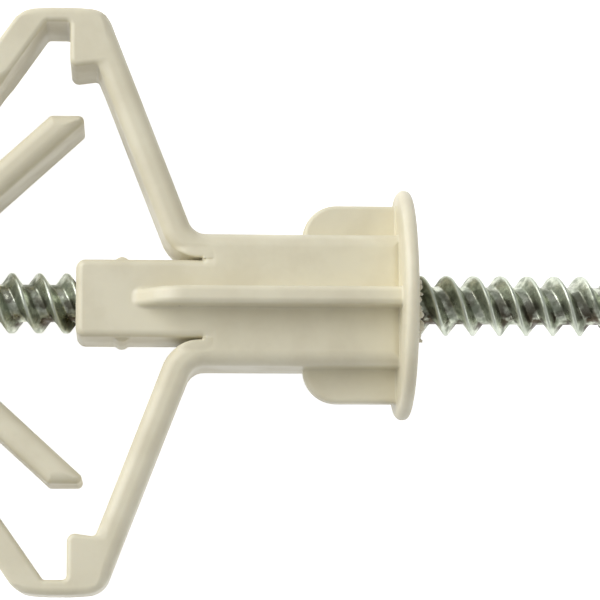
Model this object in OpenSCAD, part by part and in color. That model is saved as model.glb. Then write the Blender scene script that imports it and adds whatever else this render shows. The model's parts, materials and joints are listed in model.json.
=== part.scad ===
// Cavity wall plug with its screw: a one-piece moulding whose two wings stand open behind a
// hollow board, and a fully threaded two-start screw that runs through it.
//
// The axis of plug and screw is the model's own X: the back of the flange is at x = 0, the
// screw's head is on the +X side, the wings open to +Y and -Y. The last step lays the pair on
// the rim of the flange and the foot of the tail, as it comes to rest on a table (+Z up).

/* [Flange] */
// Diameter of the flange that stays in front of the board
flange_d = 15.3; // [13.5:0.1:18]
// Thickness of the flange
flange_t = 1.3; // [0.9:0.1:2]
// Rounding of both edges of the flange's rim
flange_edge = 0.4; // [0.1:0.05:0.45]

/* [Barrel and sleeve] */
// Length of the barrel from the back of the flange to the end of the slits
barrel_l = 12.5; // [9.5:0.1:18]
// Plastic beside the bore in the barrel and the tail, towards each wing
barrel_wall = 2.3; // [1.7:0.05:3]
// Plastic over and under the bore, all along the moulding
depth_wall = 1.2; // [0.8:0.05:1.6]
// Length of the sleeve beyond the end of the slits
sleeve_l = 8.25; // [6:0.05:10]
// Plastic beside the bore in the sleeve, towards each wing
sleeve_wall = 0.5; // [0.25:0.05:0.7]
// Rounding of the moulding's long edges
edge_r = 0.5; // [0.2:0.05:0.6]

/* [Ribs, fins and nubs] */
// Height of the two ribs above the barrel's faces
rib_h = 2.3; // [1.2:0.1:3]
// Thickness of the ribs
rib_t = 1.15; // [0.8:0.05:1.8]
// Length of the ribs from the flange to the foot of their ramps
rib_l = 17.4; // [13:0.1:19]
// Length of the ramp at a rib's far end
rib_ramp = 2.4; // [0.5:0.1:3.5]
// Length of the fins that keep the plug from turning in the board
fin_l = 5.8; // [4.5:0.1:8]
// Thickness of the fins
fin_t = 1.4; // [0.8:0.1:2]
// How far the fins' edges stay inside the rim of the flange
fin_inset = 1.05; // [0.7:0.05:1.8]
// Height of the half round nub across each side of the sleeve
nub_h = 0.25; // [0.1:0.05:0.5]
// Distance of the nubs from the free end of the sleeve
nub_at = 3.0; // [1.5:0.1:4.5]

/* [Wings] */
// Span over both wings
wing_span = 38.6; // [34:0.1:44]
// Rise of each wing's outer end from its corners to its middle
crown_arch = 0.15; // [0.05:0.05:0.3]
// Thickness of the legs and the fingers
limb_t = 1.85; // [1.6:0.05:2.3]
// Lean of the front legs, measured from a square stand on the axis
front_lean = 21.2; // [17:0.2:26]
// Rise of the rear legs, measured from the axis
rear_rise = 55; // [52:0.5:58]
// Thickness of the thin strip in which each wing folds
strip_t = 0.9; // [0.8:0.05:1.5]
// Free length of the thin strip
strip_l = 1.55; // [1.2:0.05:2.6]
// Width of the stop block beside the thin strip, at its foot
stop_w = 1.9; // [1.3:0.1:2.4]
// How far the stop block stands out from the inner side of the strip
stop_h = 3.1; // [2:0.05:3.6]
// Slope of the stop block's face, which falls away towards the leg
stop_tilt = 8; // [0:1:20]
// Length of each slit, from its end to the heel of the front leg
slit_l = 1.95; // [1.8:0.05:2.8]
// Width of the slits between sleeve and front legs
slit_w = 0.15; // [0.1:0.01:0.3]
// Rounding of the heel where a front leg rides up from the sleeve
heel_r = 2.6; // [1.8:0.1:2.7]

/* [Fingers and tail] */
// Rise of the fingers, measured from the axis
finger_rise = 42.5; // [39:0.5:46]
// Span over the tips of both fingers
finger_span = 24.2; // [21:0.1:26]
// Width of the crotch between finger and rear leg
crotch_w = 0.9; // [0.6:0.05:1.2]
// Length of the tail's block behind the rear legs
tail_l = 3.7; // [2.6:0.1:6]
// Chamfer at the end of the tail
nose_chamfer = 0.9; // [0.5:0.1:1.4]

/* [Screw] */
// Diameter over the thread
screw_d = 4.0; // [3.5:0.1:4.5]
// Length of the screw from tip to head face
screw_l = 60; // [55:1:70]
// Advance of the screw in one turn, shared by both starts
lead = 3.6; // [3:0.1:4.4]
// Height of the thread above its core
thread_h = 0.76; // [0.5:0.02:0.9]
// Length of the tapered point
point_l = 4.6; // [3:0.1:7]
// Length of the plain neck under the head
neck_l = 1.3; // [0.8:0.1:3]
// Diameter of the head
head_d = 8.0; // [7:0.1:9]
// Length of the screw, head included, that still stands out of the flange
proud_l = 17.1; // [8:0.1:18]
// Gap all round between the thread and the bore
bore_gap = 0.05; // [0.03:0.01:0.09]

/* [Hidden] */

plastic = [0.90, 0.87, 0.80];
zinc = [0.66, 0.72, 0.74];

// Bore and body
bore_r = screw_d / 2 + bore_gap;
barrel_y = bore_r + barrel_wall;
sleeve_y = bore_r + sleeve_wall;
body_z = bore_r + depth_wall;
fin_y = flange_d / 2 - fin_inset;
rib_z = body_z + rib_h;
// How far the barrel, the fins and the ribs run into the flange
root = flange_t / 2;
sleeve_x = -barrel_l - sleeve_l;

// Front legs: the inner side rises from the heel, the outer side is one limb further out
heel_x = -barrel_l - slit_l;
heel_y = sleeve_y + slit_w;
crown_y = wing_span / 2;
strip_y = crown_y - strip_t;
stop_y = strip_y - stop_h;
front_run = limb_t / cos(front_lean);
function front_x(y) = heel_x - (y - heel_y) * tan(front_lean);
stop_x = front_x(stop_y) - stop_w;
stop_fall = stop_w * tan(stop_tilt) / (1 + tan(front_lean) * tan(stop_tilt));
stop_foot = stop_y + stop_fall;

// Rear legs: the inner side falls from the thin strip towards the tail
fold_x = stop_x - strip_l;
rear_run = limb_t / sin(rear_rise);
function rear_x(y) = fold_x - (strip_y - y) / tan(rear_rise);

// Crown: the wing's outer end, from the rear leg's corner to the front leg's
shoulder_y = crown_y - crown_arch;
crown_end = rear_x(shoulder_y) - rear_run;
crown_l = front_x(shoulder_y) + front_run - crown_end;

// Fingers: rooted beside the rear legs on the core of the tail
finger_run = limb_t / sin(finger_rise);
finger_y = finger_span / 2;
finger_foot = rear_x(sleeve_y) + crotch_w;
tail_face = finger_foot + finger_run;
function finger_x(y) = finger_foot + (y - sleeve_y) / tan(finger_rise);
nose_x = rear_x(barrel_y) - rear_run - tail_l;

// Rounded corners of the outline
web_r = 1.2;
crown_front_r = 1.6;
arch_r = 8;
crown_rear_r = 1.8;
stop_r = 0.5;
inner_r = 0.3;
tip_r = 0.35;
sleeve_r = 0.6;
rib_shoulder_r = 3;
// Share of the edge rounding on the barrel, the thin strip, the sleeve and in the slits
barrel_edge = 1.6;
crown_edge = 0.8;
strip_edge = 0.3;
sleeve_edge = 0.8;
slit_edge = 0.15;
// Degrees of a corner's turn per step of its arc
arc_step = 18;
edge_steps = 2;

// Screw
core_r = screw_d / 2 - thread_h;
neck_r = core_r + 0.2;
head_x = flange_t + proud_l;
tip_x = head_x - screw_l;
head_rim = 0.45;
head_cone = head_d / 2 - neck_r;
neck_x = head_x - head_rim - head_cone - neck_l;
point_r = 0.12;
runout_l = 1.6;
starts = 2;
slices = 16;
// One start's profile: [degrees from the crest, share of the thread's height]
thread_profile = [[-60, 0], [-34, 0.5], [-8, 1], [8, 1], [34, 0.5], [60, 0], [90, 0]];
// A crest stands towards +Y this far in front of the flange
crest_at = flange_t + 0.63;
// Overlap of the threaded shank and the neck
neck_lap = 0.5;
recess_w = 0.95;
recess_top = 2.3;
recess_foot = 0.9;
recess_depth = 2.2;

// Lying on a table: the common tangent under the flange's rim and the tail's foot
foot_x = nose_x + edge_r;
rim_x = flange_edge;
rim_z = flange_d / 2 - flange_edge;
lie_run = rim_x - foot_x;
lie_rise = rim_z - body_z;
lie_angle = atan2(lie_rise, lie_run) + asin(flange_edge / norm([lie_run, lie_rise]));
lie_lift = body_z * cos(lie_angle) - foot_x * sin(lie_angle);
low_x = tip_x * cos(lie_angle);
high_x = head_x * cos(lie_angle) + head_d / 2 * sin(lie_angle);

// ---- outline helpers ----

function turned(v, a) = [v.x * cos(a) - v.y * sin(a), v.x * sin(a) + v.y * cos(a)];
function along(a, b) = (b - a) / norm(b - a);
function leftward(v) = [-v.y, v.x];
function spot(c) = [c.x, c.y];

// Where two edges that meet at p cross once each has moved to its left by its own distance
function moved(p, u, v, du, dv) =
    p + leftward(u) * du + u * (dv - du * (leftward(u) * leftward(v))) / (u * leftward(v));

// One corner as an arc. A corner is [x, y, radius, share of the inset along the next edge]
function arc_at(before, corner, after, inset) =
    let(
        u = along(spot(before), spot(corner)),
        v = along(spot(corner), spot(after)),
        turn = atan2(cross(u, v), u * v),
        side = sign(turn),
        p = moved(spot(corner), u, v, inset * before[3], inset * corner[3]),
        r = max(corner[2] - side * inset * min(before[3], corner[3]), 0.03),
        centre = p - u * r * tan(abs(turn) / 2) + leftward(u) * side * r,
        steps = ceil(abs(turn) / arc_step - 0.01)
    )
    corner[2] == 0 ? [p]
        : [for (i = [0:steps]) centre - turned(leftward(u) * side * r, turn * i / steps)];

// A closed counter-clockwise outline, rounded at its corners and moved inwards by inset
function outline(corners, inset = 0) =
    let(n = len(corners))
    [for (i = [0:n - 1]) each arc_at(corners[(i + n - 1) % n], corners[i], corners[(i + 1) % n], inset)];

// Ear clipping: the triangles that fill the outline p, as lists of indices
function inside(q, a, b, c) = cross(b - a, q - a) >= 0 && cross(c - b, q - b) >= 0 && cross(a - c, q - c) >= 0;
function is_ear(p, ids, i) =
    let(n = len(ids), a = ids[(i + n - 1) % n], b = ids[i], c = ids[(i + 1) % n])
    cross(p[b] - p[a], p[c] - p[b]) > 0
        && len([for (j = ids) if (j != a && j != b && j != c && inside(p[j], p[a], p[b], p[c])) j]) == 0;
function first_ear(p, ids, i = 0) = is_ear(p, ids, i) ? i : first_ear(p, ids, i + 1);
function filled(p, ids) =
    let(n = len(ids), i = n == 3 ? 0 : first_ear(p, ids))
    n == 3 ? [ids]
        : concat(
            [[ids[(i + n - 1) % n], ids[i], ids[(i + 1) % n]]],
            filled(p, [for (k = [0:n - 1]) if (k != i) ids[k]])
        );

// Side walls between each ring of n points and the next
function ring_walls(n, last) = [
    for (k = [0:last - 1]) for (i = [0:n - 1])
        let(a = k * n + i, b = k * n + (i + 1) % n)
        each [[a, b + n, b], [a, a + n, b + n]]
];

// A slab of the outline, h to each side of z = 0, with its long edges rounded by r
module rounded_slab(corners, h, r) {
    turns = [for (i = [0:edge_steps]) 90 - 90 * i / edge_steps];
    low = [for (t = turns) [r - r * cos(t), -h + r - r * sin(t)]];
    high = [for (i = [edge_steps:-1:0]) [low[i][0], -low[i][1]]];
    levels = concat(low, high);
    rings = [for (l = levels) [for (p = outline(corners, l[0])) [p.x, p.y, l[1]]]];
    n = len(rings[0]);
    last = len(rings) - 1;
    cap = filled(outline(corners, r), [for (i = [0:n - 1]) i]);
    low_cap = cap;
    high_cap = [for (t = cap) [t[2], t[1], t[0]] + [1, 1, 1] * last * n];
    polyhedron([for (ring = rings) each ring], concat(ring_walls(n, last), low_cap, high_cap));
}

// ---- the moulding ----

// Upper half of the body, one wing and one finger, as [x, y, rounding, edge share]
half_body = [
    [root, 0, 0, 0],
    [root, barrel_y, 0, barrel_edge],
    [front_x(barrel_y) + front_run, barrel_y, web_r, 1],
    [front_x(shoulder_y) + front_run, shoulder_y, crown_front_r, crown_edge],
    [crown_end + crown_l * 0.65, crown_y, arch_r, crown_edge],
    [crown_end + crown_l * 0.3, crown_y, arch_r, crown_edge],
    [rear_x(shoulder_y) - rear_run, shoulder_y, crown_rear_r, 1],
    [rear_x(barrel_y) - rear_run, barrel_y, web_r, 1],
    [nose_x + nose_chamfer, barrel_y, 0, 1],
    [nose_x, barrel_y - nose_chamfer, 0, 1],
    [nose_x, 0, 0, 0],
    [tail_face, 0, 0, 1],
    [tail_face, sleeve_y, 0, 1],
    [finger_x(finger_y) + finger_run, finger_y, tip_r, 1],
    [finger_x(finger_y), finger_y, tip_r, 1],
    [finger_foot, sleeve_y, inner_r, slit_edge],
    [rear_x(sleeve_y), sleeve_y, inner_r, 1],
    [fold_x, strip_y, inner_r, strip_edge],
    [stop_x, strip_y, inner_r, 1],
    [stop_x, stop_y, stop_r, 1],
    [front_x(stop_foot), stop_foot, inner_r, 1],
    [heel_x, heel_y, heel_r, slit_edge],
    [-barrel_l, heel_y, 0, slit_edge],
    [-barrel_l, sleeve_y, 0, sleeve_edge],
    [sleeve_x, sleeve_y, sleeve_r, 1],
    [sleeve_x, 0, 0, 0],
];

module half_moulding() {
    rounded_slab(half_body, body_z, edge_r);
    nub(sleeve_x + nub_at);
}

// Half round ridge across one side of the sleeve
module nub(x) {
    nub_r = 2 * nub_h;
    translate([x, sleeve_y + nub_h - nub_r, 0])
        cylinder(h = 2 * (body_z - edge_r), r = nub_r, center = true, $fn = 24);
}

module flange() {
    rotate([0, 90, 0])
        rotate_extrude($fn = 96) {
            square([flange_d / 2 - flange_edge, flange_t]);
            translate([0, flange_edge])
                square([flange_d / 2, flange_t - 2 * flange_edge]);
            for (at = [flange_edge, flange_t - flange_edge])
                translate([flange_d / 2 - flange_edge, at])
                    circle(r = flange_edge, $fn = 32);
        }
}

// Plate in the plane of the wings, with its two far corners rounded
module fins() {
    fin_h = fin_y - barrel_y;
    half_fin = [
        [root, 0, 0, 0],
        [root, fin_y, 0, 0],
        [-fin_l, fin_y, fin_h, 0],
        [-fin_l, 0, 0, 0],
    ];
    for (side = [0, 1])
        mirror([0, side, 0])
            linear_extrude(height = fin_t, center = true)
                polygon(outline(half_fin));
}

// Rib along the middle of the upper and the lower face. At the sleeve end it bends over a
// round shoulder into a ramp
module ribs() {
    foot_z = body_z - edge_r;
    bend = atan2(rib_z - foot_z, rib_ramp);
    shoulder = min(rib_shoulder_r, 0.8 * norm([rib_ramp, rib_z - foot_z]) / tan(bend / 2));
    profile = [
        [root, -rib_z, 0, 0],
        [root, rib_z, 0, 0],
        [-rib_l + rib_ramp, rib_z, shoulder, 0],
        [-rib_l, foot_z, 0, 0],
        [-rib_l, -foot_z, 0, 0],
        [-rib_l + rib_ramp, -rib_z, shoulder, 0],
    ];
    rotate([90, 0, 0])
        linear_extrude(height = rib_t, center = true)
            polygon(outline(profile));
}

module plug_body() {
    difference() {
        union() {
            half_moulding();
            mirror([0, 1, 0])
                half_moulding();
            flange();
            fins();
            ribs();
        }
        translate([nose_x - 1, 0, 0])
            rotate([0, 90, 0])
                cylinder(h = flange_t - nose_x + 2, r = bore_r, $fn = 64);
    }
}

// ---- the screw ----

function share(x, from, length) = min(1, max(0, (x - from) / length));

// Radius of the core and height of the thread at x
function core_at(x) = point_r + (core_r - point_r) * share(x, tip_x, point_l);
function height_at(x) = thread_h * share(x, tip_x, point_l) * share(neck_x + neck_lap - x, 0, runout_l);

// Cross-section of the thread at x: both starts' profiles around the core
function thread_ring(x) = [
    for (s = [0:starts - 1]) for (p = thread_profile)
        let(
            a = p[0] + 360 * s / starts + 360 * (x - crest_at) / lead,
            r = core_at(x) + p[1] * height_at(x)
        )
        [x, r * cos(a), r * sin(a)]
];

module threaded_shank() {
    length = neck_x + neck_lap - tip_x;
    steps = ceil(length / lead * slices);
    rings = [for (k = [0:steps]) thread_ring(tip_x + length * k / steps)];
    n = len(rings[0]);
    caps = [[for (i = [0:n - 1]) i], [for (i = [n - 1:-1:0]) steps * n + i]];
    polyhedron([for (ring = rings) each ring], concat(ring_walls(n, steps), caps));
}

module head() {
    profile = [
        [0, 0],
        [neck_r, 0],
        [neck_r, neck_l],
        [head_d / 2, neck_l + head_cone],
        [head_d / 2, neck_l + head_cone + head_rim],
        [0, neck_l + head_cone + head_rim],
    ];
    translate([neck_x, 0, 0])
        rotate([0, 90, 0])
            rotate_extrude($fn = 64)
                polygon(profile);
}

// Cross recess for the driver: two tapered slots
module recess() {
    slot = [
        [head_x - recess_depth, -recess_foot],
        [head_x + 0.1, -recess_top],
        [head_x + 0.1, recess_top],
        [head_x - recess_depth, recess_foot],
    ];
    for (a = [45, 135])
        rotate([a, 0, 0])
            linear_extrude(height = recess_w, center = true)
                polygon(slot);
}

module screw_body() {
    difference() {
        union() {
            threaded_shank();
            head();
        }
        recess();
    }
}

// ---- both pieces as they lie ----

module lying() {
    translate([-(low_x + high_x) / 2, 0, lie_lift])
        rotate([0, -lie_angle, 0])
            children();
}

module plug() {
    color(plastic)
        lying()
            plug_body();
}

module screw() {
    color(zinc)
        lying()
            screw_body();
}

plug();
screw();
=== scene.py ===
"""Cavity wall plug with its two-start screw, dressed and set on a pale studio floor.

The model's own axis frame is used throughout: u runs along the screw towards its head, with 0 at
the back of the flange, y lies in the plane of the wings and z stands square to it. Sizes are in
millimetres there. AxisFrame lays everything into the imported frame, in metres.
"""

import json
import logging
import math
from dataclasses import dataclass
from enum import Enum
from functools import partial, reduce
from itertools import product
from typing import Any, Callable, Sequence

import bmesh
import bpy
import numpy as np
from mathutils import Matrix, Vector


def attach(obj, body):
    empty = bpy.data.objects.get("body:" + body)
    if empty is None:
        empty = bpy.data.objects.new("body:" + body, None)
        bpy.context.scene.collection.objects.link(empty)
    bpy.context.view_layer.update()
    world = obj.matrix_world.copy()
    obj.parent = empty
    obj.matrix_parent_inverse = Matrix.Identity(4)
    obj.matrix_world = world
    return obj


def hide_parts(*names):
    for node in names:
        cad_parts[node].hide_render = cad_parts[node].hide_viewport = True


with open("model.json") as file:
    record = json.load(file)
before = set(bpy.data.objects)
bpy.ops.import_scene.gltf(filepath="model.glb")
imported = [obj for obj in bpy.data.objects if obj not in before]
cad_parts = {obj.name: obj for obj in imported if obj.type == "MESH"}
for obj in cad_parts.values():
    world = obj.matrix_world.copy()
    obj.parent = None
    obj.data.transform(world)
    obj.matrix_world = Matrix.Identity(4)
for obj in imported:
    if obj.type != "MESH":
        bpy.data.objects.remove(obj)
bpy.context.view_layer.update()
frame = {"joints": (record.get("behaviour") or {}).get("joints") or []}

MM = 0.001
SQUARE = ((-1, -1), (1, -1), (1, 1), (-1, 1))
LOG = logging.getLogger("wall_plug")
Array = np.ndarray
Field = Callable[[Array, Array, Array], Array]
Material, Thing, Socket = bpy.types.Material, bpy.types.Object, bpy.types.NodeSocket
Tree = bpy.types.NodeTree
Values = dict[str | int, Any]
Span = tuple[float, float]
Triple = tuple[float, float, float]


class Body(Enum):
    """The two bodies that the pieces ride on."""

    PLUG = "plug"
    SCREW = "screw"


class Slot(Enum):
    """The record's material slots."""

    MOULDING = "moulding"
    ZINC_STEEL = "zinc_steel"


# ---- placing and baking


@dataclass(frozen=True)
class AxisFrame:
    """Lays the model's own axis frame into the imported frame, along the screw's hinge."""

    matrix: Matrix

    @classmethod
    def from_hinge(cls, hinge: dict[str, Any]) -> "AxisFrame":
        """Reads where the axis starts and how it leans from the hinge between plug and screw.

        Args:
            hinge: The joint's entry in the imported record, whose axis points towards the tip.

        Returns:
            The frame whose u axis runs towards the screw's head.
        """
        head = -Vector(hinge["axis"]).normalized()
        side = Vector((0.0, 1.0, 0.0))
        up = head.cross(side)
        turn = Matrix((head, side, up)).transposed().to_4x4()
        return cls(Matrix.Translation(Vector(hinge["pos_m"])) @ turn @ Matrix.Scale(MM, 4))

    def place(self, mesh: bpy.types.Mesh) -> None:
        """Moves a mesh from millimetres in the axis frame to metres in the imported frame."""
        mesh.transform(self.matrix)

    def turn(self) -> Matrix:
        """Gives the axis frame's rotation alone."""
        return self.matrix.to_quaternion().to_matrix()


AXIS = AxisFrame.from_hinge(frame["joints"][0])


def new_object(name: str, data: bpy.types.ID) -> Thing:
    """Links a mesh, a lamp or a camera into the scene as an object at the origin."""
    made = bpy.data.objects.new(name, data)
    bpy.context.scene.collection.objects.link(made)
    return made


def baked(worker: Thing, name: str) -> Thing:
    """Turns an object with live modifiers into a plain mesh object.

    Args:
        worker: The object whose modifiers are applied. It is deleted.
        name: The finished piece's name.

    Returns:
        The plain piece, without modifiers.
    """
    graph = bpy.context.evaluated_depsgraph_get()
    mesh = bpy.data.meshes.new_from_object(worker.evaluated_get(graph), depsgraph=graph)
    mesh.name = name
    bpy.data.objects.remove(worker)
    return new_object(name, mesh)


def finish_piece(piece: Thing, body: Body, slot: Slot, *replaces: str) -> None:
    """Names what a piece rides on and stands for.

    Args:
        piece: The finished object.
        body: The body that carries it.
        slot: The material slot that it takes its finish from. It is not used.
        replaces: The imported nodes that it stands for.
    """
    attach(piece, body.value)
    if replaces:
        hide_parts(*replaces)
    points, faces = len(piece.data.vertices), len(piece.data.polygons)
    LOG.info("%s: %d points, %d faces, on %s", piece.name, points, faces, body.value)


def released(form: bmesh.types.BMesh, name: str) -> bpy.types.Mesh:
    """Turns a working form into a mesh and frees it."""
    mesh = bpy.data.meshes.new(name)
    form.to_mesh(mesh)
    form.free()
    return mesh


# ---- distance fields


def blended(a: Array, b: Array, fillet: float) -> Array:
    """Joins two fields with a fillet. With signs turned it cuts and rounds the edge."""
    near = np.maximum(fillet - np.abs(a - b), 0) / fillet
    return np.minimum(a, b) - near * near * fillet / 4


def slab(flat: Array, across: Array, half: float, edge: Any) -> Array:
    """Thickens a flat outline to both sides, with rounded edges.

    Args:
        flat: Signed distance to the outline in its own plane.
        across: Distance from the middle plane.
        half: Half of the thickness.
        edge: Radius of the rounded edges, one number or one for each point.

    Returns:
        Signed distance to the thick form.
    """
    out = flat + edge
    up = np.abs(across) - half + edge
    round_corner = np.hypot(np.maximum(out, 0), np.maximum(up, 0))
    return np.minimum(np.maximum(out, up), 0) + round_corner - edge


def eased(value: Array, start: float, end: float) -> Array:
    """Rises smoothly from 0 at start to 1 at end, which may lie on either side of it."""
    t = np.clip((value - start) / (end - start), 0, 1)
    return t * t * (3 - 2 * t)


def unit(way: Array) -> Array:
    """Scales a flat vector to a length of 1."""
    return way / np.hypot(*way)


def rounded_outline(corners: Sequence[Triple], step: float = 6.0) -> Array:
    """Replaces each corner of an outline by an arc.

    Args:
        corners: Points [u, y, radius] in order.
        step: Turn of one step of an arc, in degrees.

    Returns:
        The points of the closed outline.
    """
    points: list[Array] = []
    spots = np.array([c[:2] for c in corners], float)
    for i, (_, _, radius) in enumerate(corners):
        before, here, after = spots[i - 1], spots[i], spots[(i + 1) % len(spots)]
        if radius == 0:
            points.append(here)
            continue
        a, b = unit(here - before), unit(after - here)
        turn = math.atan2(a[0] * b[1] - a[1] * b[0], float(a @ b))
        side = math.copysign(1.0, turn)
        left = np.array([-a[1], a[0]])
        centre = here - a * radius * math.tan(abs(turn) / 2) + left * side * radius
        x, y = -left * side * radius
        for share in np.linspace(0, 1, math.ceil(abs(math.degrees(turn)) / step) + 1):
            c, s = math.cos(turn * share), math.sin(turn * share)
            points.append(centre + (x * c - y * s, x * s + y * c))
    return np.array(points)


def outline_distance(outline: Array, u: Array, y: Array) -> Array:
    """Measures the signed distance from points to a closed outline, negative inside.

    Args:
        outline: The outline's points in order.
        u: First coordinate of the points.
        y: Second coordinate, of a shape that fits u.

    Returns:
        The distances, in the shape that u and y make together.
    """
    u, y = np.broadcast_arrays(u, y)
    nearest = np.full(u.shape, np.inf)
    sign = np.ones(u.shape)
    for a, b in zip(outline, np.roll(outline, -1, axis=0)):
        edge = b - a
        du, dy = u - a[0], y - a[1]
        share = np.clip((du * edge[0] + dy * edge[1]) / (edge @ edge), 0, 1)
        nearest = np.minimum(nearest, (du - edge[0] * share) ** 2 + (dy - edge[1] * share) ** 2)
        above, below = y >= a[1], y < b[1]
        right = edge[0] * dy > edge[1] * du
        sign[(above & below & right) | (~above & ~below & ~right)] *= -1
    return sign * np.sqrt(nearest)


def netted(field: Field, axes: Sequence[Array]) -> tuple[Array, Array]:
    """Nets the zero surface of a distance field, with one point in each cell that it crosses.

    Args:
        field: The signed distance, negative inside.
        axes: The grid's lines along the three axes.

    Returns:
        The points and the four-sided faces, which point outwards.
    """
    values = field(axes[0][:, None, None], axes[1][None, :, None], axes[2][None, None, :])
    inner = values < 0
    size = [len(a) - 1 for a in axes]
    count = np.zeros(size, np.int8)
    for i, j, k in product((0, 1), repeat=3):
        count += inner[i : size[0] + i, j : size[1] + j, k : size[2] + k]
    cells = np.argwhere((count > 0) & (count < 8))
    order = np.full(size, -1, np.int32)
    order[tuple(cells.T)] = np.arange(len(cells))
    total, hits = np.zeros((len(cells), 3)), np.zeros(len(cells))
    step = np.eye(3, dtype=int)
    for axis in range(3):
        first, second = (step[a] for a in range(3) if a != axis)
        for s, t in product((0, 1), repeat=2):
            low = cells + s * first + t * second
            high = low + step[axis]
            a, b = values[tuple(low.T)], values[tuple(high.T)]
            crossed = (a < 0) != (b < 0)
            share = np.where(crossed, a / np.where(crossed, a - b, 1), 0)
            spot = np.stack([axes[d][low[:, d]] for d in range(3)], 1)
            spot[:, axis] += share * (axes[axis][high[:, axis]] - axes[axis][low[:, axis]])
            total += spot * crossed[:, None]
            hits += crossed
    faces = []
    for axis in range(3):
        a, b = (axis + 1) % 3, (axis + 2) % 3
        first = np.take(inner, range(size[axis]), axis)
        change = first != np.take(inner, range(1, size[axis] + 1), axis)
        at = np.argwhere(change)
        at = at[(at[:, a] > 0) & (at[:, b] > 0) & (at[:, a] < size[a]) & (at[:, b] < size[b])]
        round_ = ((1, 1), (0, 1), (0, 0), (1, 0))
        quads = np.stack([order[tuple((at - s * step[a] - t * step[b]).T)] for s, t in round_], 1)
        outward = first[tuple(at.T)]
        quads[~outward] = quads[~outward][:, ::-1]
        faces.append(quads)
    return total / hits[:, None], np.concatenate(faces)


def slopes(field: Field, points: Array, reach: float = 0.004) -> Array:
    """Measures which way a distance field rises at each point.

    Args:
        field: The signed distance.
        points: The points, one in a row.
        reach: Half the distance over which it measures.

    Returns:
        Unit vectors, one in a row.
    """
    shifts = reach * np.eye(3)
    rise = np.stack([field(*(points + s).T) - field(*(points - s).T) for s in shifts], 1)
    return rise / np.maximum(np.linalg.norm(rise, axis=1), 1e-12)[:, None]


# ---- the moulding


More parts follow.
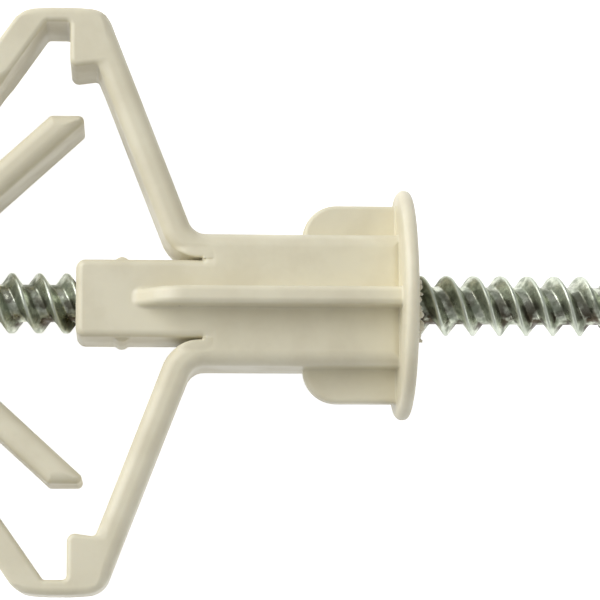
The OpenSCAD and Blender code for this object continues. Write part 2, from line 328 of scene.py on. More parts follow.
@dataclass
class PlugMoulding:
    """The one-piece moulding: flange, barrel, sleeve, two folding wings, fingers and tail.

    A name that ends in _r is a radius, and one that ends in _y or _z is a distance from the axis
    in the plane of the wings or square to it.
    """

    finish: Material
    bore_r: float = 2.05
    flange_r: float = 7.64
    flange_t: float = 1.3
    seat_u: float = 0.4
    rim_back: float = 0.44
    rim_front: float = 0.4
    barrel_l: float = 12.5
    barrel_y: float = 4.35
    sleeve_l: float = 8.25
    sleeve_y: float = 2.55
    sleeve_r: float = 0.6
    body_z: float = 3.25
    edge: float = 0.8
    rib_z: float = 5.54
    rib_t: float = 1.15
    rib_l: float = 17.4
    rib_ramp: float = 2.4
    rib_ramp_r: float = 3.0
    rib_sink: float = 0.55
    rib_edge: float = 0.38
    fin_l: float = 5.8
    fin_t: float = 1.4
    fin_y: float = 6.6
    fin_edge: float = 0.3
    nub_h: float = 0.25
    nub_at: float = 3.0
    nub_edge: float = 0.15
    nub_fillet: float = 0.2
    root_r: float = 1.2
    inner_r: float = 0.3
    front_shoulder_r: float = 1.6
    rear_shoulder_r: float = 1.8
    crown_y: float = 19.3
    crown_arch: float = 0.15
    crown_flat: Span = (0.3, 0.65)
    crown_r: float = 8.0
    limb_t: float = 1.85
    front_lean: float = 21.2
    rear_rise: float = 55.0
    strip_t: float = 1.0
    strip_l: float = 1.55
    stop_w: float = 1.9
    stop_h: float = 3.05
    stop_tilt: float = 8.0
    stop_r: float = 0.5
    slit_l: float = 1.95
    slit_w: float = 0.15
    heel_r: float = 2.6
    finger_rise: float = 42.5
    finger_y: float = 12.1
    finger_tip_r: float = 0.35
    finger_root_r: float = 0.2
    crotch_w: float = 0.9
    tail_l: float = 3.7
    nose_chamfer: float = 0.9
    fillet: float = 0.22
    mouth_edge: float = 0.12
    past_axis: float = -3.0
    grid: float = 0.1
    grid_start: float = -39.9
    fine_band: Span = (2.4, 2.9)
    faces: int = 160000
    weld: float = 1e-4
    normal_reach: float = 0.02

    @property
    def flange_mid(self) -> float:
        """Middle of the flange's thickness."""
        return (self.flange_t + self.seat_u) / 2

    @property
    def strip_y(self) -> float:
        """Inner side of the thin fold strip."""
        return self.crown_y - self.strip_t

    def corners(self) -> list[Triple]:
        """Lists the corners of the upper half's outline, as [u, y, radius].

        Returns:
            The corners, counter-clockwise. The half reaches past the axis, where its mirror
            image takes over.
        """
        root, below, strip_y = self.flange_mid, self.past_axis, self.strip_y
        heel_u, heel_y = -self.barrel_l - self.slit_l, self.sleeve_y + self.slit_w
        lean, rise = math.tan(math.radians(self.front_lean)), math.tan(math.radians(self.rear_rise))
        stop_y = strip_y - self.stop_h
        front_run = self.limb_t / math.cos(math.radians(self.front_lean))
        rear_run = self.limb_t / math.sin(math.radians(self.rear_rise))
        finger_run = self.limb_t / math.sin(math.radians(self.finger_rise))

        def front_u(y: float) -> float:
            """Gives the inner side of the front leg at y."""
            return heel_u - (y - heel_y) * lean

        stop_u = front_u(stop_y) - self.stop_w
        fall = math.tan(math.radians(self.stop_tilt))
        stop_foot = stop_y + self.stop_w * fall / (1 + lean * fall)
        fold_u = stop_u - self.strip_l

        def rear_u(y: float) -> float:
            """Gives the inner side of the rear leg at y."""
            return fold_u - (strip_y - y) / rise

        foot_u = rear_u(self.sleeve_y) + self.crotch_w
        tail_u = foot_u + finger_run
        tip_u = foot_u + (self.finger_y - self.sleeve_y) / math.tan(math.radians(self.finger_rise))
        nose_u = rear_u(self.barrel_y) - rear_run - self.tail_l
        shoulder_y = self.crown_y - self.crown_arch
        crown_end = rear_u(shoulder_y) - rear_run
        crown_l = front_u(shoulder_y) + front_run - crown_end
        flat_end, flat_start = (crown_end + crown_l * share for share in self.crown_flat)
        sleeve_u = -self.barrel_l - self.sleeve_l
        return [
            (root, below, 0),
            (root, self.barrel_y, 0),
            (front_u(self.barrel_y) + front_run, self.barrel_y, self.root_r),
            (front_u(shoulder_y) + front_run, shoulder_y, self.front_shoulder_r),
            (flat_start, self.crown_y, self.crown_r),
            (flat_end, self.crown_y, self.crown_r),
            (crown_end, shoulder_y, self.rear_shoulder_r),
            (rear_u(self.barrel_y) - rear_run, self.barrel_y, self.root_r),
            (nose_u + self.nose_chamfer, self.barrel_y, 0),
            (nose_u, self.barrel_y - self.nose_chamfer, 0),
            (nose_u, below, 0),
            (tail_u, below, 0),
            (tail_u, self.sleeve_y, self.finger_root_r),
            (tip_u + finger_run, self.finger_y, self.finger_tip_r),
            (tip_u, self.finger_y, self.finger_tip_r),
            (foot_u, self.sleeve_y, self.inner_r),
            (rear_u(self.sleeve_y), self.sleeve_y, self.inner_r),
            (fold_u, strip_y, self.inner_r),
            (stop_u, strip_y, self.inner_r),
            (stop_u, stop_y, self.stop_r),
            (front_u(stop_foot), stop_foot, self.inner_r),
            (heel_u, heel_y, self.heel_r),
            (-self.barrel_l, heel_y, 0),
            (-self.barrel_l, self.sleeve_y, 0),
            (sleeve_u, self.sleeve_y, self.sleeve_r),
            (sleeve_u, below, 0),
        ]

    def edge_radius(self, u: Array, y: Array) -> Array:
        """Gives the radius of the body's rounded edges, which changes along the outline.

        Args:
            u: Places along the axis.
            y: Distances from the axis in the plane of the wings.

        Returns:
            The radius at each point.
        """
        radius, strip_y, slit_end = self.edge, self.strip_y, (u, -11.7, -12.4)
        # Each row: by what share the radius changes, and the ramps between which it does so.
        for change, *ramps in (
            # the sleeve
            (-0.4, (u, -21.3, -20.1), slit_end, (y, 3.4, 2.6)),
            # inside the slit
            (-0.7, (u, -15.6, -14.4), slit_end, (y, 2.58, 2.64), (y, 3.5, 2.8)),
            # the barrel
            (0.25, (u, -14.0, -11.5), (y, 5.4, 4.6)),
            # round the stop block
            (
                -0.58,
                (y, strip_y - 4.2, strip_y - 3.2),
                (y, strip_y + 0.5, strip_y + 0.3),
                (u, -18.7, -19.6),
            ),
            # the crown
            (-0.35, (y, strip_y + 0.3, strip_y + 0.5)),
        ):
            radius = radius * (1 + change * math.prod(eased(*ramp) for ramp in ramps))
        return radius

    def field(self) -> Field:
        """Builds the moulding's signed distance, with every edge rounded and every root filleted.

        Returns:
            The distance as a function of u, y and z.
        """
        outline = rounded_outline(self.corners())
        root, below, fin_r = self.flange_mid, self.past_axis, self.fin_y - self.barrel_y
        fin_end, rib_end = -self.fin_l, -self.rib_l
        fin_top = [(root, self.fin_y, 0), (fin_end, self.fin_y, fin_r)]
        fin = rounded_outline([(root, below, 0), *fin_top, (fin_end, below, 0)])
        rib = rounded_outline(
            [
                (root, below, 0),
                (root, self.rib_z, 0),
                (self.rib_ramp + rib_end, self.rib_z, self.rib_ramp_r),
                (rib_end, self.body_z - self.rib_sink, 0),
                (rib_end, below, 0),
            ]
        )
        nub_u, nub_r = self.nub_at - self.barrel_l - self.sleeve_l, 2 * self.nub_h

        def distance(u: Array, y: Array, z: Array) -> Array:
            """Gives the signed distance to the moulding."""
            y, z = np.abs(y), np.abs(z)
            around = np.hypot(y, z)
            form = slab(outline_distance(outline, u, y), z, self.body_z, self.edge_radius(u, y))
            ridge = np.hypot(u - nub_u, y - self.sleeve_y - self.nub_h + nub_r) - nub_r
            nub = slab(ridge, z, self.body_z - self.edge, self.nub_edge)
            form = blended(form, nub, self.nub_fillet)
            for blade, up, aside, thick, edge in (
                (fin, y, z, self.fin_t, self.fin_edge),
                (rib, z, y, self.rib_t, self.rib_edge),
            ):
                plate = slab(outline_distance(blade, u, up), aside, thick / 2, edge)
                form = blended(form, plate, self.fillet)
            half = (self.flange_t - self.seat_u) / 2
            rim = np.where(u > root, self.rim_front, self.rim_back)
            disc = slab(around - self.flange_r, u - root, half, rim)
            form = blended(form, disc, self.fillet / 2)
            return -blended(-form, around - self.bore_r, self.mouth_edge)

        return distance

    def quarter(self, field: Field) -> tuple[Array, Array]:
        """Nets the quarter with y and z above 0 and thins its flat faces.

        Args:
            field: The moulding's signed distance.

        Returns:
            The quarter's points and triangles. Its open edges lie on the two middle planes.
        """
        step, (low, high) = self.grid, self.fine_band
        along = np.arange(self.grid_start, self.flange_t + 3 * step, step)
        across = np.concatenate(
            [
                np.arange(-step / 2, low - step / 4, step),
                np.arange(low, high, step / 2),
                np.arange(high, self.crown_y + 2 * step, step),
            ]
        )
        deep = np.arange(-step / 2, self.flange_r + 2 * step, step)
        points, quads = netted(field, (along, across, deep))
        for _ in range(2):
            points -= slopes(field, points) * field(*points.T)[:, None]
        mesh = bpy.data.meshes.new("quarter")
        mesh.from_pydata(points, [], quads.tolist())
        worker = new_object("quarter", mesh)
        thin = worker.modifiers.new("thin", "DECIMATE")
        thin.ratio = self.faces / 4 / (2 * len(quads))
        thin.use_collapse_triangulate = True
        thinned = baked(worker, "quarter")
        shell = bmesh.new()
        shell.from_mesh(thinned.data)
        for v in shell.verts:
            if v.is_boundary:
                v.co[1 if abs(v.co.y) < abs(v.co.z) else 2] = 0.0
        points = np.array([v.co for v in shell.verts])
        faces = np.array([[v.index for v in f.verts] for f in shell.faces])
        shell.free()
        bpy.data.objects.remove(thinned)
        return points, faces

    def build(self) -> Thing:
        """Builds the whole moulding and lays it in place.

        Returns:
            The finished piece.
        """
        field = self.field()
        points, faces = self.quarter(field)
        mesh = bpy.data.meshes.new("plug_moulding")
        spots, rings = [], []
        for n, (sy, sz) in enumerate(product((1, -1), repeat=2)):
            spots.append(points * [1, sy, sz])
            rings.append((faces if sy * sz > 0 else faces[:, ::-1]) + n * len(points))
        mesh.from_pydata(np.concatenate(spots), [], np.concatenate(rings).tolist())
        shell = bmesh.new()
        shell.from_mesh(mesh)
        bmesh.ops.remove_doubles(shell, verts=shell.verts, dist=self.weld)
        shell.to_mesh(mesh)
        LOG.info("moulding: %d open edges", sum(e.is_boundary for e in shell.edges))
        shell.free()
        co = np.empty(len(mesh.vertices) * 3)
        mesh.vertices.foreach_get("co", co)
        normals = slopes(field, co.reshape(-1, 3), self.normal_reach)
        AXIS.place(mesh)
        normals = normals @ np.array(AXIS.turn()).T
        mesh.normals_split_custom_set_from_vertices(normals.tolist())
        mesh.materials.append(self.finish)
        piece = new_object("plug_moulding", mesh)
        finish_piece(piece, Body.PLUG, Slot.MOULDING, "plug")
        return piece


# ---- node sheets


class Sheet:
    """Lays nodes into one tree, so that the tree reads like its formula."""

    def __init__(self, tree: Tree) -> None:
        """Takes the tree that the nodes go into."""
        self.tree = tree

    @classmethod
    def cleared(cls, owner: Any) -> "Sheet":
        """Empties the shader tree of a material or a world and takes it."""
        owner.use_nodes = True
        owner.node_tree.nodes.clear()
        return cls(owner.node_tree)

    @classmethod
    def group(cls, name: str, kind: str, inputs: Values, outputs: dict[str, str]) -> tuple:
        """Starts a node group with named sockets.

        Args:
            name: The group's name.
            kind: The type of its tree.
            inputs: First values by name: a number, a vector or a colour.
            outputs: Types by name.

        Returns:
            Its sheet, and its inputs' sockets by name.
        """
        tree = bpy.data.node_groups.new(name, kind)
        kinds = {int: "Int", float: "Float", 3: "Vector", 4: "Color"}
        for key, value in inputs.items():
            kind = "NodeSocket" + kinds[len(value) if isinstance(value, tuple) else type(value)]
            socket = tree.interface.new_socket(key, in_out="INPUT", socket_type=kind)
            socket.default_value = value
        for key, kind in outputs.items():
            tree.interface.new_socket(key, in_out="OUTPUT", socket_type="NodeSocket" + kind)
        sheet = cls(tree)
        return sheet, sheet.node("NodeGroupInput").outputs

    def node(self, kind: str, values: Values | None = None, **settings: Any) -> bpy.types.Node:
        """Adds one node.

        Args:
            kind: The node's type.
            values: Its inputs by name or number. A socket is wired, the rest set.
            settings: The node's own options.

        Returns:
            The new node.
        """
        made = self.tree.nodes.new(kind)
        for key, value in settings.items():
            setattr(made, key, value)
        for key, value in (values or {}).items():
            if isinstance(value, Socket):
                self.tree.links.new(value, made.inputs[key])
            else:
                made.inputs[key].default_value = value
        return made

    def first(self, kind: str, values: Values | None = None, **settings: Any) -> Socket:
        """Adds one node, as node does, and gives its first output."""
        return self.node(kind, values, **settings).outputs[0]

    def math(self, operation: str, *values: Any) -> Socket:
        """Adds one Math node and gives its result."""
        return self.first("ShaderNodeMath", dict(enumerate(values)), operation=operation)

    def times(self, *values: Any) -> Socket:
        """Multiplies all values, from left to right."""
        return reduce(partial(self.math, "MULTIPLY"), values)

    def away(self, y: Socket, z: Socket) -> Socket:
        """Gives how far the spot at y and z is from the axis."""
        return self.math("SQRT", self.math("MULTIPLY_ADD", y, y, self.times(z, z)))

    def ramp(
        self,
        value: Any,
        start: Any,
        end: Any,
        low: Any = 0.0,
        high: Any = 1.0,
        kind: str = "LINEAR",
    ) -> Socket:
        """Maps a value from start..end to low..high and stops there.

        Args:
            value: What is mapped.
            start: Value that gives low.
            end: Value that gives high.
            low: Result at start.
            high: Result at end.
            kind: How the result runs between them.

        Returns:
            The mapped value.
        """
        names = ("Value", "From Min", "From Max", "To Min", "To Max")
        values = dict(zip(names, (value, start, end, low, high)))
        return self.first("ShaderNodeMapRange", values, interpolation_type=kind)

    def noise(self, place: Socket, scale: Any, detail: Any, rough: float = 0.5) -> Socket:
        """Adds one noise texture and gives its value."""
        values = {"Vector": place, "Scale": scale, "Detail": detail, "Roughness": rough}
        return self.first("ShaderNodeTexNoise", values)

    def mix(self, share: Any, one: Any, other: Any) -> Socket:
        """Mixes two colours."""
        return self.node("ShaderNodeMix", {0: share, 6: one, 7: other}, data_type="RGBA").outputs[2]

    def parts(self, vector: Socket) -> tuple[Socket, ...]:
        """Splits a vector into its three parts."""
        return tuple(self.node("ShaderNodeSeparateXYZ", {0: vector}).outputs)

    def vector(self, x: Any, y: Any, z: Any) -> Socket:
        """Joins three numbers into a vector."""
        return self.first("ShaderNodeCombineXYZ", {0: x, 1: y, 2: z})

    def polar(self, place: Socket, radius: Socket, angle: Socket) -> Socket:
        """Gives the spot at a place along the axis, a radius and an angle round it."""
        aside, up = (self.times(radius, self.math(kind, angle)) for kind in ("COSINE", "SINE"))
        return self.vector(place, aside, up)

    def position(self) -> tuple[Socket, ...]:
        """Gives the three parts of the points' positions."""
        return self.parts(self.first("GeometryNodeInputPosition"))


@dataclass(frozen=True)
class Recipe:
    """One named geometry tree with named number inputs, and how an object is made with it."""

    name: str
    sizes: dict[str, float | int]

    def sheet(self) -> tuple:
        """Starts the tree, as Sheet.group does."""
        return Sheet.group(self.name, "GeometryNodeTree", self.sizes, {"Geometry": "Geometry"})

    def make(self, sheet: Sheet, geometry: Socket, finish: Material) -> Thing:
        """Ends the tree in Realize Instances and Set Material, runs it and bakes the result.

        Args:
            sheet: The sheet of the tree.
            geometry: What the tree made.
            finish: The material that it gets.

        Returns:
            The plain mesh object, laid in place.
        """
        smooth = sheet.first("GeometryNodeSetShadeSmooth", {0: geometry})
        real = sheet.first("GeometryNodeRealizeInstances", {0: smooth})
        done = sheet.first("GeometryNodeSetMaterial", {"Geometry": real, "Material": finish})
        sheet.node("NodeGroupOutput", {0: done})
        worker = new_object(self.name, bpy.data.meshes.new(self.name))
        modifier = worker.modifiers.new(self.name, "NODES")
        modifier.node_group = sheet.tree
        for item in sheet.tree.interface.items_tree:
            if item.in_out == "INPUT":
                modifier[item.identifier] = self.sizes[item.name]
        piece = baked(worker, self.name)
        AXIS.place(piece.data)
        return piece


# ---- the screw


@dataclass
class TwinThreadScrew:
    """The fully threaded two-start screw with its countersunk head."""

    finish: Material
    thread_r: float = 2.0
    thread_h: float = 0.76
    lead: float = 3.6
    crest_u: float = 1.93
    length: float = 60.0
    head_u: float = 18.4
    head_r: float = 4.0
    head_rim: float = 0.45
    neck_l: float = 1.3
    neck_over: float = 0.2
    point_l: float = 4.6
    runout_l: float = 1.6
    crest_w: float = 0.15
    root_w: float = 1.2
    flank_points: int = 25
    flank_power: float = 1.12
    nick_depth: float = 0.035
    nick_band: float = 0.4
    overlap: float = 0.5
    weld: float = 0.002
    recess_w: float = 0.95
    recess_taper: float = 0.4
    recess_top: float = 2.3
    recess_foot: float = 0.9
    recess_depth: float = 2.2
    head_steps: int = 96
    sharp_edge: float = 35.0

    @property
    def core_r(self) -> float:
        """Radius of the core."""
        return self.thread_r - self.thread_h

    @property
    def neck_r(self) -> float:
        """Radius of the plain neck."""
        return self.core_r + self.neck_over

    @property
    def neck_u(self) -> float:
        """Place where the neck starts."""
        return self.head_u - self.head_rim - (self.head_r - self.neck_r) - self.neck_l

    def shank(self) -> Thing:
        """Winds both threads on the core, as one closed skin.

        Returns:
            The threaded shank, laid in place.
        """
        sizes = {
            "Lead": self.lead,
            "Thread radius": self.thread_r,
            "Core radius": self.core_r,
            "Tip": self.head_u - self.length,
            "End": self.neck_u + self.overlap,
            "Crest place": self.crest_u,
            "Crest width": self.crest_w,
            "Root width": self.root_w,
            "Point length": self.point_l,
            "Runout": self.runout_l,
            "Nick depth": self.nick_depth,
            "Steps in a turn": 48,
            "Seed": 7,
        }
        recipe = Recipe("screw_shank", sizes)
        sheet, size = recipe.sheet()
        math_, times = sheet.math, sheet.times
        lead, tip, end = (size[key] for key in ("Lead", "Tip", "End"))
        step = math_("DIVIDE", lead, size["Steps in a turn"])
        span = math_("MULTIPLY_ADD", lead, 2.0, math_("SUBTRACT", end, tip))
        steps = math_("CEIL", math_("DIVIDE", span, step))
        rows = {"Vertices X": self.flank_points, "Vertices Y": math_("ADD", steps, 1.0)}
        grid = sheet.first("GeometryNodeMeshGrid", {"Size X": 1.0, "Size Y": 1.0} | rows)
        across, around, _ = sheet.position()
        wind = times(math_("ADD", around, 0.5), steps, step)
        crest = math_("ADD", math_("SUBTRACT", tip, lead), wind)
        aside = times(across, math_("DIVIDE", lead, 2.0))
        free = math_("ADD", crest, aside)
        place = math_("MINIMUM", math_("MAXIMUM", free, tip), end)
        inner = times(math_("GREATER_THAN", free, tip), math_("LESS_THAN", free, end))
        grown = sheet.ramp(math_("SUBTRACT", place, tip), 0.0, size["Point length"])
        left = sheet.ramp(math_("SUBTRACT", end, place), 0.0, size["Runout"])
        edges = (math_("DIVIDE", size[key], 2.0) for key in ("Crest width", "Root width"))
        flank = sheet.ramp(math_("ABSOLUTE", aside), *edges, 1.0, 0.0)
        height = math_("SUBTRACT", size["Thread radius"], size["Core radius"])
        thread = times(height, math_("POWER", flank, self.flank_power), times(grown, left))
        radius = times(math_("MULTIPLY_ADD", size["Core radius"], grown, thread), inner)
        turns = math_("DIVIDE", math_("SUBTRACT", crest, size["Crest place"]), lead)
        spot = sheet.polar(place, radius, times(turns, math.tau))
        one = sheet.first("GeometryNodeSetPosition", {"Geometry": grid, "Position": spot})
        half_turn = (math.pi, 0.0, 0.0)
        other = sheet.first("GeometryNodeTransform", {"Geometry": one, "Rotation": half_turn})
        both = sheet.node("GeometryNodeJoinGeometry")
        for start in (one, other):
            sheet.tree.links.new(start, both.inputs[0])
        joined = {"Geometry": both.outputs[0], "Distance": self.weld}
        closed = sheet.first("GeometryNodeMergeByDistance", joined)
        _, y, z = sheet.position()
        out = sheet.away(y, z)
        band = (math_("SUBTRACT", size["Thread radius"], self.nick_band), size["Thread radius"])
        outer = sheet.ramp(out, *band, kind="SMOOTHSTEP")
        grain = {"W": size["Seed"], "Scale": 2.6, "Detail": 3.0}
        noise = sheet.first("ShaderNodeTexNoise", grain, noise_dimensions="4D")
        bite = times(sheet.ramp(noise, 0.5, 0.75), outer, size["Nick depth"])
        inward = math_("DIVIDE", times(bite, -1.0), math_("MAXIMUM", out, 0.1))
        nick = sheet.vector(0.0, times(y, inward), times(z, inward))
        worn = sheet.first("GeometryNodeSetPosition", {"Geometry": closed, "Offset": nick})
        outwards = sheet.first("GeometryNodeFlipFaces", {0: worn})
        piece = recipe.make(sheet, outwards, self.finish)
        finish_piece(piece, Body.SCREW, Slot.ZINC_STEEL, "screw")
        return piece

    def head(self) -> Thing:
        """Turns the neck and the countersunk head and sinks the cross recess into it.

        Returns:
            The head, laid in place.
        """
        form = bmesh.new()
        cone_u, steps = self.head_u - self.head_rim, self.head_steps
        outline = [
            (self.neck_u, -1.0, 0.0),
            (self.neck_u, self.neck_r, 0.1),
            (self.neck_u + self.neck_l, self.neck_r, 0.5),
            (cone_u, self.head_r, 0.12),
            (self.head_u, self.head_r, 0.14),
            (self.head_u, -1.0, 0.0),
        ]
        skirt = [(u, r) for u, r in rounded_outline(outline, 15) if r > 0]
        rings = []
        for u, r in [(self.neck_u, 0.0), *skirt, (self.head_u, 0.0)]:
            if r == 0:
                rings.append([form.verts.new((u, 0, 0))] * steps)
                continue
            turns = [math.tau * k / steps for k in range(steps)]
            rings.append([form.verts.new((u, r * math.cos(t), r * math.sin(t))) for t in turns])
        for low, high in zip(rings, rings[1:]):
            for k in range(steps):
                ring = [low[k - 1], low[k], high[k], high[k - 1]]
                form.faces.new(list(dict.fromkeys(ring)))
        bmesh.ops.recalc_face_normals(form, faces=form.faces)
        worker = new_object("screw_head_blank", released(form, "screw_head"))
        punches = [self.punch(turn) for turn in (45, 135)]
        for punch in punches:
            bite = worker.modifiers.new("recess", "BOOLEAN")
            bite.operation, bite.solver, bite.object = "DIFFERENCE", "EXACT", punch
        piece = baked(worker, "screw_head")
        for punch in punches:
            bpy.data.objects.remove(punch)
        piece.data.shade_smooth()
        piece.data.set_sharp_from_angle(angle=math.radians(self.sharp_edge))
        piece.data.materials.clear()
        piece.data.materials.append(self.finish)
        AXIS.place(piece.data)
        finish_piece(piece, Body.SCREW, Slot.ZINC_STEEL)
        return piece

    def punch(self, turn: float) -> Thing:
        """Makes one tapered slot of the cross recess as a cutter.

        Args:
            turn: Its turn round the axis, in degrees.

        Returns:
            The cutter, in millimetres in the axis frame.
        """
        form = bmesh.new()
        ends = []
        for u, reach, half in (
            (self.head_u - self.recess_depth, self.recess_foot, self.recess_w * self.recess_taper),
            (self.head_u + 0.1, self.recess_top, self.recess_w / 2),
        ):
            ends.append([form.verts.new((u, y * reach, z * half)) for y, z in SQUARE])
        for k in range(4):
            form.faces.new((ends[0][k - 1], ends[0][k], ends[1][k], ends[1][k - 1]))
        form.faces.new(ends[0])
        form.faces.new(ends[1][::-1])
        bmesh.ops.recalc_face_normals(form, faces=form.faces)
        bmesh.ops.rotate(form, verts=form.verts, matrix=Matrix.Rotation(math.radians(turn), 3, "X"))
        return new_object("recess_punch", released(form, "recess_punch"))

    def build(self) -> list[Thing]:
        """Builds the shank and the head."""
        return [self.shank(), self.head()]


@dataclass
class Swarf:
    """Ragged plastic crumbs that the thread has pushed out round the mouth of the bore.

    A pair of numbers is a range that is drawn from: turns in radians, scales in crumb sizes.
    """

    finish: Material
    mouth_u: float = 1.3
    inner: float = 2.28
    outer: float = 2.56
    count: int = 80
    crumb: float = 0.17
    crowding: float = 1.6
    ragged: float = 0.26
    arc: Span = (0.3 * math.pi, 1.25 * math.pi)
    lift: Span = (0.0, 0.5)
    lean: Span = (-0.5, 0.1)
    spin: Span = (-0.5, 0.5)
    scales: tuple[Span, Span, Span] = ((1.0, 3.2), (0.4, 0.75), (0.7, 1.9))

    def build(self) -> Thing:
        """Scatters the crumbs on the flange's face.

        Returns:
            The crumbs as one piece, laid in place.
        """
        sizes = {
            "Count": self.count,
            "Inner radius": self.inner,
            "Outer radius": self.outer,
            "Face": self.mouth_u,
            "Crumb": self.crumb,
            "Seed": 11,
        }
        recipe = Recipe("swarf", sizes)
        sheet, size = recipe.sheet()
        math_ = sheet.math

        def drawn(limits: Span, offset: int) -> Socket:
            """Draws one number for each crumb between two limits."""
            values = {2: limits[0], 3: limits[1], 8: math_("ADD", size["Seed"], float(offset))}
            return sheet.node("FunctionNodeRandomValue", values, data_type="FLOAT").outputs[1]

        row = sheet.first("GeometryNodeMeshLine", {"Count": size["Count"]})
        angle = drawn(self.arc, 0)
        out = math_("POWER", drawn((0.0, 1.0), 1), self.crowding)
        out = sheet.ramp(out, 0.0, 1.0, size["Inner radius"], size["Outer radius"])
        spot = sheet.polar(math_("ADD", size["Face"], drawn(self.lift, 2)), out, angle)
        placed = sheet.first("GeometryNodeSetPosition", {"Geometry": row, "Position": spot})
        round_ = {"Radius": size["Crumb"], "Subdivisions": 2}
        strewn = sheet.first(
            "GeometryNodeInstanceOnPoints",
            {
                "Points": placed,
                "Instance": sheet.first("GeometryNodeMeshIcoSphere", round_),
                "Rotation": sheet.vector(angle, drawn(self.lean, 3), drawn(self.spin, 4)),
                "Scale": sheet.vector(*(drawn(s, 5 + k) for k, s in enumerate(self.scales))),
            },
        )
        real = sheet.first("GeometryNodeRealizeInstances", {0: strewn})
        noise = sheet.node("ShaderNodeTexNoise", {"Scale": 9.0, "Detail": 2.0}).outputs[1]
        middle = {0: noise, 1: (0.5, 0.5, 0.5)}
        bent = sheet.first("ShaderNodeVectorMath", middle, operation="SUBTRACT")
        short = {0: bent, "Scale": self.ragged}
        bent = sheet.first("ShaderNodeVectorMath", short, operation="SCALE")
        rough = sheet.first("GeometryNodeSetPosition", {"Geometry": real, "Offset": bent})
        piece = recipe.make(sheet, rough, self.finish)
        finish_piece(piece, Body.PLUG, Slot.MOULDING)
        return piece


# ---- finishes


def srgb(red: float, green: float, blue: float) -> tuple[float, float, float, float]:
    """Turns display values from 0 to 255 into a linear colour."""
    shares = [v / 255 for v in (red, green, blue)]
    r, g, b = (s / 12.92 if s <= 0.04045 else ((s + 0.055) / 1.055) ** 2.4 for s in shares)
    return (r, g, b, 1.0)


class ShaderGroups:
    """The node groups that the finishes share, each built once."""

    def __init__(self) -> None:
        """Builds all groups."""
        self.cloud = self.clouded()
        self.specks = self.specked()

    def clouded(self) -> Tree:
        """Builds the group that lets a colour and a gloss drift over a surface."""
        white = (1.0, 1.0, 1.0, 1.0)
        inputs = {
            "Place": (0.0, 0.0, 0.0),
            "Scale": 300.0,
            "Detail": 4.0,
            "Light colour": white,
            "Dark colour": white,
            "Smooth": 0.4,
            "Rough": 0.5,
            "Start": 0.35,
            "End": 0.65,
        }
        outputs = {"Colour": "Color", "Roughness": "Float"}
        sheet, size = Sheet.group("Cloud", "ShaderNodeTree", inputs, outputs)
        noise = sheet.noise(size["Place"], size["Scale"], size["Detail"], 0.55)
        mask = sheet.ramp(noise, size["Start"], size["End"], kind="SMOOTHSTEP")
        colour = sheet.mix(mask, size["Light colour"], size["Dark colour"])
        gloss = sheet.ramp(mask, 0.0, 1.0, size["Smooth"], size["Rough"])
        sheet.node("NodeGroupOutput", {"Colour": colour, "Roughness": gloss})
        return sheet.tree

    def specked(self) -> Tree:
        """Builds the group that strews small specks of dust, few and far between."""
        inputs = {"Place": (0.0, 0.0, 0.0), "Scale": 210.0, "Size": 0.024, "Share": 0.4}
        sheet, size = Sheet.group("Specks", "ShaderNodeTree", inputs, {"Mask": "Float"})
        values = {"Vector": size["Place"], "Scale": size["Scale"]}
        cells = sheet.node("ShaderNodeTexVoronoi", values).outputs
        draw = sheet.parts(cells["Color"])
        far = sheet.times(size["Size"], sheet.ramp(draw[1], 0.0, 1.0, 0.45, 1.3))
        round_ = sheet.ramp(cells["Distance"], sheet.times(far, 0.5), far, 1.0, 0.0)
        kept = sheet.math("LESS_THAN", draw[0], size["Share"])
        depth = sheet.ramp(draw[2], 0.0, 1.0, 0.35, 0.9)
        sheet.node("NodeGroupOutput", {"Mask": sheet.times(round_, kept, depth)})
        return sheet.tree


@dataclass(frozen=True)
class Finish:
    """What the finishes have in common: a shader, the place its patterns read and a relief."""

    name: str
    depth: float

    def build(self, groups: ShaderGroups) -> Material:
        """Builds the material.

        Args:
            groups: The shared node groups.

        Returns:
            The material.
        """
        material = bpy.data.materials.new(self.name)
        sheet = Sheet.cleared(material)
        back = AXIS.matrix.inverted()
        spot = sheet.node("ShaderNodeTexCoord").outputs["Object"]
        turned = {0: spot, 1: back.translation * MM, 2: back.to_euler()}
        values, relief = self.dress(sheet, sheet.first("ShaderNodeMapping", turned), groups)
        bump = {"Height": relief, "Strength": 1.0, "Distance": self.depth}
        values["Normal"] = sheet.first("ShaderNodeBump", bump)
        sheet.node("ShaderNodeOutputMaterial", {0: sheet.first("ShaderNodeBsdfPrincipled", values)})
        return material

    def dress(self, sheet: Sheet, place: Socket, groups: ShaderGroups) -> tuple[Values, Socket]:
        """Lays the finish's own nodes.

        Args:
            sheet: The material's sheet.
            place: The place in the axis frame, in metres.
            groups: The shared node groups.

        Returns:
            What goes into the shader, and the relief.
        """
        raise NotImplementedError


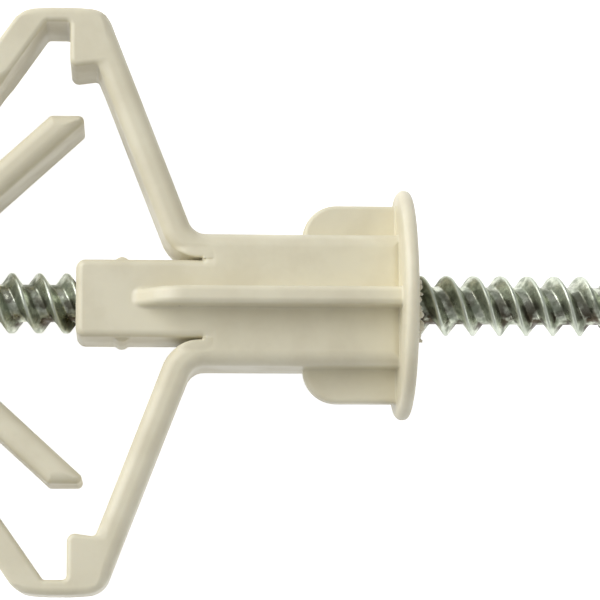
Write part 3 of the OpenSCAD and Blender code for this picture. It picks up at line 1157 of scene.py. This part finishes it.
@dataclass(frozen=True)
class MouldedPlastic(Finish):
    """Warm off-white moulded plastic, satin, a little milky, with dust specks and mould marks."""

    name: str = "moulded_plastic"
    depth: float = 0.00003
    colour: Triple = (229, 223, 199)
    shade: Triple = (220, 213, 188)
    speck: Triple = (96, 84, 62)
    grain: float = 0.16
    wave: float = 0.35
    seam_w: float = 0.00006
    seam_rise: float = 0.3

    def dress(self, sheet: Sheet, place: Socket, groups: ShaderGroups) -> tuple[Values, Socket]:
        """Lays drifting colour, specks, grain, slow waves and the seam, as Finish.dress says."""
        drift = {
            "Place": place,
            "Scale": 260.0,
            "Light colour": srgb(*self.colour),
            "Dark colour": srgb(*self.shade),
            "Smooth": 0.36,
            "Rough": 0.47,
        }
        broad = sheet.node("ShaderNodeGroup", drift, node_tree=groups.cloud).outputs
        dust = {"Place": place, "Scale": 210.0, "Size": 0.024, "Share": 0.4}
        specks = sheet.first("ShaderNodeGroup", dust, node_tree=groups.specks)
        height = sheet.math("ABSOLUTE", sheet.parts(place)[2])
        seam = sheet.ramp(height, 0.0, self.seam_w, 1.0, 0.0)
        waves = sheet.times(sheet.noise(place, 520.0, 2.0), self.wave)
        grain = sheet.noise(place, 4200.0, 3.0, 0.6)
        relief = sheet.math("MULTIPLY_ADD", grain, self.grain, waves)
        return {
            "Base Color": sheet.mix(specks, broad["Colour"], srgb(*self.speck)),
            "Roughness": broad["Roughness"],
            "Subsurface Weight": 0.12,
            "Subsurface Radius": (1.0, 0.85, 0.6),
            "Subsurface Scale": 0.0006,
            "IOR": 1.5,
        }, sheet.math("MULTIPLY_ADD", seam, self.seam_rise, relief)


@dataclass(frozen=True)
class ZincPlating(Finish):
    """Dull zinc plating on steel: painted shade in the grooves, crests lighter from wear and a
    painted highlight.
    """

    name: str = "blue_zinc_plating"
    depth: float = 0.00009
    bright: Triple = (216, 221, 204)
    dull: Triple = (150, 157, 140)
    rubbed_highlight: Triple = (206, 212, 198)
    painted_groove_shade: Triple = (66, 54, 38)
    crest_r: float = 2.0
    rubbed_highlight_band: Span = (0.22, 0.02)
    groove_r: float = 1.45
    groove_fade: float = 0.35
    grain: float = 0.35

    def dress(self, sheet: Sheet, place: Socket, groups: ShaderGroups) -> tuple[Values, Socket]:
        """Lays cloudy zinc, crests lighter from wear and painted highlight, painted groove shade
        and grain, as Finish.dress says.
        """
        drift = {
            "Place": place,
            "Scale": 1500.0,
            "Detail": 5.0,
            "Light colour": srgb(*self.bright),
            "Dark colour": srgb(*self.dull),
            "Smooth": 0.26,
            "Rough": 0.5,
        }
        cloud = sheet.node("ShaderNodeGroup", drift, node_tree=groups.cloud).outputs
        _, y, z = sheet.parts(place)
        out = sheet.away(y, z)
        # Crests lighter: partly rubbed wear, partly a painted highlight.
        crest = sheet.ramp(out, *((self.crest_r - band) * MM for band in self.rubbed_highlight_band))
        # Painted shade: the grooves turn dark brown towards the core, more on the lower (-y) side,
        # in noisy patches.
        groove = (self.groove_r * MM, (self.groove_r + self.groove_fade) * MM)
        deep = sheet.ramp(out, *groove, 1.0, 0.0)
        shaded = sheet.ramp(y, -0.9 * MM, 0.7 * MM, 0.95, 0.35)
        patches = sheet.ramp(sheet.noise(place, 900.0, 4.0), 0.44, 0.56)
        colour = sheet.mix(crest, cloud["Colour"], srgb(*self.rubbed_highlight))
        # Mask of the painted shade: groove depth times lower side times noisy patches.
        painted_shade_mask = sheet.times(deep, shaded, patches)
        grain, broad = sheet.noise(place, 3600.0, 4.0, 0.65), sheet.noise(place, 1100.0, 1.0)
        return {
            "Base Color": sheet.mix(painted_shade_mask, colour, srgb(*self.painted_groove_shade)),
            "Roughness": sheet.math("MULTIPLY_ADD", crest, 0.06, cloud["Roughness"]),
            "Metallic": 1.0,
        }, sheet.math("MULTIPLY_ADD", grain, self.grain, broad)


# ---- the studio


@dataclass
class Studio:
    """Plain pale floor, soft lamps and the camera that looks down on the wings."""

    eye: Triple = (-17.202, -24.2, 184.607)
    aim: Span = (-5.956, -3.758)
    roll: float = -0.002
    focal: float = 2807.875
    shift: float = 0.102
    picture: int = 600
    sensor: float = 36.0
    sky: float = 0.35
    glow: float = 0.82
    floor_half: float = 1.5
    floor_drop: float = 0.00002

    def floor(self) -> None:
        """Lays the floor, which shows white and keeps the soft shadow."""
        mesh = bpy.data.meshes.new("floor")
        corners = [(x * self.floor_half, y * self.floor_half, 0) for x, y in SQUARE]
        mesh.from_pydata(corners, [], [(0, 1, 2, 3)])
        floor = new_object("floor", mesh)
        floor.location.z = -self.floor_drop
        material = bpy.data.materials.new("floor_white")
        sheet = Sheet.cleared(material)
        path = sheet.node("ShaderNodeLightPath").outputs
        kinds = (path[f"Is {kind} Ray"] for kind in ("Camera", "Glossy", "Transmission"))
        seen = reduce(partial(sheet.math, "MAXIMUM"), kinds)
        pale = sheet.first("ShaderNodeBsdfDiffuse", {0: (0.8, 0.8, 0.8, 1)})
        glow = sheet.first("ShaderNodeEmission", {0: (1, 1, 1, 1), 1: sheet.times(seen, self.glow)})
        both = sheet.first("ShaderNodeAddShader", {0: pale, 1: glow})
        sheet.node("ShaderNodeOutputMaterial", {0: both})
        mesh.materials.append(material)

    def lamp(self, name: str, place: Triple, size: float, watts: float) -> None:
        """Hangs one soft square lamp that looks at the part.

        Args:
            name: The lamp's name.
            place: Where it hangs, in metres.
            size: The length of its side, in metres.
            watts: Its power.
        """
        light = bpy.data.lights.new(name, "AREA")
        light.shape, light.size, light.energy = "SQUARE", size, watts
        lamp = new_object(name, light)
        lamp.location = place
        lamp.rotation_euler = (-Vector(place)).to_track_quat("-Z", "Y").to_euler()

    def world(self) -> None:
        """Sets the even light from all round, which the camera sees as plain white."""
        world = bpy.data.worlds.new("studio")
        sheet = Sheet.cleared(world)
        seen = sheet.node("ShaderNodeLightPath").outputs["Is Camera Ray"]
        strength = sheet.ramp(seen, 0.0, 1.0, self.sky, 1.0)
        light = sheet.first("ShaderNodeBackground", {0: (1, 1, 1, 1), 1: strength})
        sheet.node("ShaderNodeOutputWorld", {0: light})
        bpy.context.scene.world = world

    def camera(self) -> None:
        """Hangs the camera over the part."""
        data = bpy.data.cameras.new("camera")
        data.sensor_width = self.sensor
        data.lens = self.focal / self.picture * data.sensor_width
        data.shift_y = self.shift
        data.clip_start, data.clip_end = 0.01, 10.0
        camera = new_object("camera", data)
        ahead = (Vector((*self.aim, 0.0)) - Vector(self.eye)).normalized()
        right = ahead.cross(Vector((-math.sin(self.roll), math.cos(self.roll), 0.0))).normalized()
        turn = AXIS.turn() @ Matrix((right, right.cross(ahead), -ahead)).transposed()
        camera.matrix_world = Matrix.Translation(AXIS.matrix @ Vector(self.eye)) @ turn.to_4x4()
        bpy.context.scene.camera = camera

    def build(self) -> None:
        """Sets up floor, lamps, world and camera."""
        self.floor()
        self.lamp("key", (-0.56, 0.3, 0.36), 0.8, 5.6)
        self.lamp("fill", (0.6, -0.16, 0.24), 0.6, 1.1)
        self.world()
        self.camera()
        bpy.context.scene.view_settings.view_transform = "Standard"


def main() -> None:
    """Builds the part piece by piece, then the studio."""
    logging.basicConfig(level=logging.INFO, format="%(name)s: %(message)s")
    groups = ShaderGroups()
    plastic = MouldedPlastic().build(groups)
    zinc = ZincPlating().build(groups)
    plug = PlugMoulding(plastic)
    for builder in (plug, Swarf(plastic), TwinThreadScrew(zinc)):
        builder.build()
    Studio().build()


if __name__ == "__main__":
    main()
